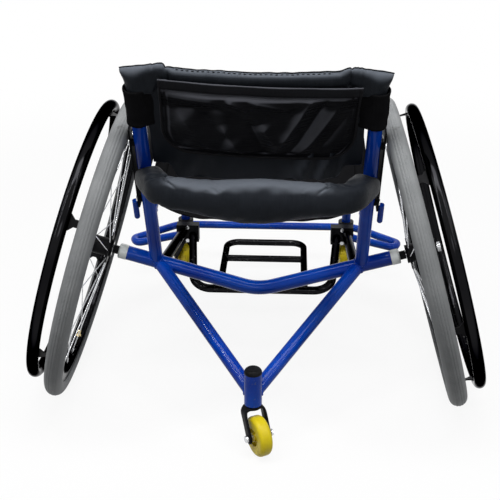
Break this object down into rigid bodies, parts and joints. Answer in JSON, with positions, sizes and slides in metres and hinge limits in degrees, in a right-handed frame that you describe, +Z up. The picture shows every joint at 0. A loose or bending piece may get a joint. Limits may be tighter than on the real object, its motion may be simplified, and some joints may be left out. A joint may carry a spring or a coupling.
{
  "type": "sports wheelchair",
  "caption": "Rigid sports wheelchair with cambered spoked wheels, push rims, padded back roll, slung seat, winged front bumper, foot loop and swivel casters with a rear anti-tip caster.",
  "frame": {"origin": "floor level under the middle of the chair", "axes": "+X towards the rider's right, +Y the way the rider faces, +Z up"},
  "size_m": [0.894, 0.8594, 0.6907],
  "materials": {
    "frame_blue": "glossy royal blue paint",
    "gloss_black": "glossy black coating over alloy",
    "satin_black": "satin black",
    "cloth": "charcoal coated nylon weave",
    "steel": "bright zinc",
    "pale_collar": "pale anodised",
    "tyre_grey": "mid-grey non-marking rubber",
    "caster_yellow": "yellow moulded polyurethane"
  },
  "bodies": {
    "frame": {"camber_bar": "frame_blue", "back_post_left": "frame_blue", "back_post_right": "frame_blue", "rear_strut_left": "frame_blue", "rear_strut_right": "frame_blue", "antitip_head_tube": "frame_blue", "back_bar": "frame_blue", "side_frame_left": "frame_blue", "side_frame_right": "frame_blue", "front_bumper": "frame_blue", "guard_stems": "frame_blue", "lower_rail_left": "gloss_black", "lower_rail_right": "gloss_black", "footrest_hanger": "gloss_black", "footrest_loop": "gloss_black", "antitip_cap": "satin_black", "caster_housing_left": "satin_black", "caster_housing_right": "satin_black", "footrest_clamps": "satin_black", "side_guard_left": "satin_black", "side_guard_right": "satin_black", "axle_spacers": "satin_black", "back_bar_pad": "cloth", "seat_sling": "cloth", "back_upholstery": "cloth", "back_pocket": "cloth", "frame_bolts": "steel", "axle_left": "steel", "axle_right": "steel", "stem_bearings": "steel", "axle_collar_left": "pale_collar", "axle_collar_right": "pale_collar"},
    "wheel_left": {"tyre_left": "tyre_grey", "rim_left": "gloss_black", "spokes_left": "steel", "hub_left": "satin_black", "hub_bearings_left": "steel", "push_rim_left": "gloss_black", "push_rim_tabs_left": "satin_black"},
    "wheel_right": {"tyre_right": "tyre_grey", "rim_right": "gloss_black", "spokes_right": "steel", "hub_right": "satin_black", "hub_bearings_right": "steel", "push_rim_right": "gloss_black", "push_rim_tabs_right": "satin_black"},
    "swivel_left": {"caster_fork_left": "satin_black", "caster_bolt_left": "steel"},
    "swivel_right": {"caster_fork_right": "satin_black", "caster_bolt_right": "steel"},
    "swivel_antitip": {"antitip_fork": "satin_black", "antitip_bolt": "steel"},
    "caster_left": {"caster_tyre_left": "caster_yellow", "caster_hub_left": "caster_yellow"},
    "caster_right": {"caster_tyre_right": "caster_yellow", "caster_hub_right": "caster_yellow"},
    "caster_antitip": {"antitip_tyre": "caster_yellow", "antitip_hub": "caster_yellow"},
    "button_left": {"release_button_left": "satin_black"},
    "button_right": {"release_button_right": "satin_black"}
  },
  "joints": [
    {"name": "wheel_left_spin", "type": "hinge", "parent": "frame", "child": "wheel_left", "pos_m": [-0.317, -0.12475, 0.29342], "axis": [-0.9598, 0, 0.2807], "continuous": true},
    {"name": "wheel_right_spin", "type": "hinge", "parent": "frame", "child": "wheel_right", "pos_m": [0.317, -0.12475, 0.29342], "axis": [0.9598, 0, 0.2807], "continuous": true},
    {"name": "caster_left_swivel", "type": "hinge", "parent": "frame", "child": "swivel_left", "pos_m": [-0.202, 0.36225, 0.11], "axis": [0, 0, 1], "continuous": true},
    {"name": "caster_left_spin", "type": "hinge", "parent": "swivel_left", "child": "caster_left", "pos_m": [-0.22115, 0.37832, 0.0375], "axis": [0.6428, 0.766, 0], "continuous": true},
    {"name": "caster_right_swivel", "type": "hinge", "parent": "frame", "child": "swivel_right", "pos_m": [0.202, 0.36225, 0.11], "axis": [0, 0, 1], "continuous": true},
    {"name": "caster_right_spin", "type": "hinge", "parent": "swivel_right", "child": "caster_right", "pos_m": [0.19982, 0.38716, 0.0375], "axis": [0.9962, 0.0872, 0], "continuous": true},
    {"name": "caster_antitip_swivel", "type": "hinge", "parent": "frame", "child": "swivel_antitip", "pos_m": [0, -0.36475, 0.11], "axis": [0, 0, 1], "continuous": true},
    {"name": "caster_antitip_spin", "type": "hinge", "parent": "swivel_antitip", "child": "caster_antitip", "pos_m": [0.01174, -0.38682, 0.0375], "axis": [-0.8829, -0.4695, 0], "continuous": true},
    {"name": "release_button_left_press", "type": "slide", "parent": "frame", "child": "button_left", "axis": [0.9598, 0, -0.2807], "range_m": [0, 0.003], "stiffness_N_per_m": 500},
    {"name": "release_button_right_press", "type": "slide", "parent": "frame", "child": "button_right", "axis": [-0.9598, 0, -0.2807], "range_m": [0, 0.003], "stiffness_N_per_m": 500}
  ]
}
